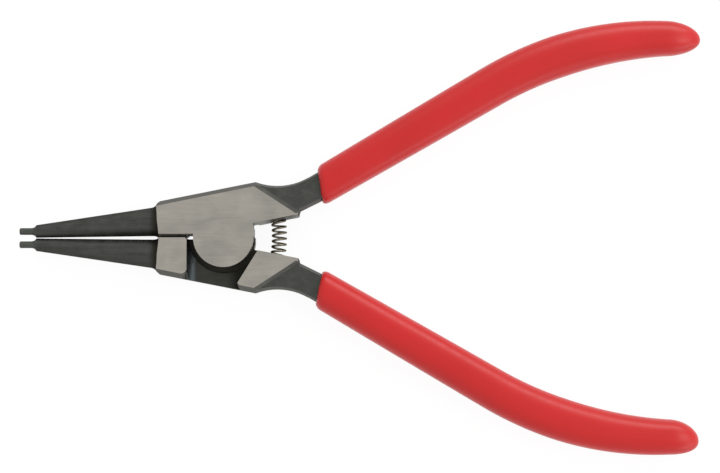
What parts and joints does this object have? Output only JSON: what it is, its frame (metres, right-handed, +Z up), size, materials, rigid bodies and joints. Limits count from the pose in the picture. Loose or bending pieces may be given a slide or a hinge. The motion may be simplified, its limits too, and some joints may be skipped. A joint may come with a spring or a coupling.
{
  "type": "circlip pliers",
  "caption": "External circlip pliers with straight turned tips, a riveted lap joint, a coil return spring and dipped red grips. Squeezing the handles opens the tips.",
  "frame": {"origin": "on the joint axis, in the plane that the closed pliers lie on", "axes": "+X from the joint to the handles, +Y from the joint to the upper lever, +Z up, along the joint axis"},
  "size_m": [0.1797, 0.1148, 0.01],
  "materials": {
    "forged_steel": "phosphated forging with ground faces",
    "ground_steel": "ground",
    "spring_steel": "drawn wire",
    "grip_vinyl": "satin"
  },
  "bodies": {
    "lower": {"lower_lever": "forged_steel", "lower_grip": "grip_vinyl", "return_spring": "spring_steel"},
    "upper": {"upper_lever": "forged_steel", "upper_grip": "grip_vinyl", "joint_rivet": "ground_steel"}
  },
  "joints": [
    {"name": "jaw_pivot", "type": "hinge", "parent": "lower", "child": "upper", "pos_m": [0, 0, 0.005], "axis": [0, 0, -1], "range_deg": [0, 25], "stiffness_Nm_per_rad": 1.3, "springref_deg": -7.85, "deforming": ["return_spring"]}
  ]
}
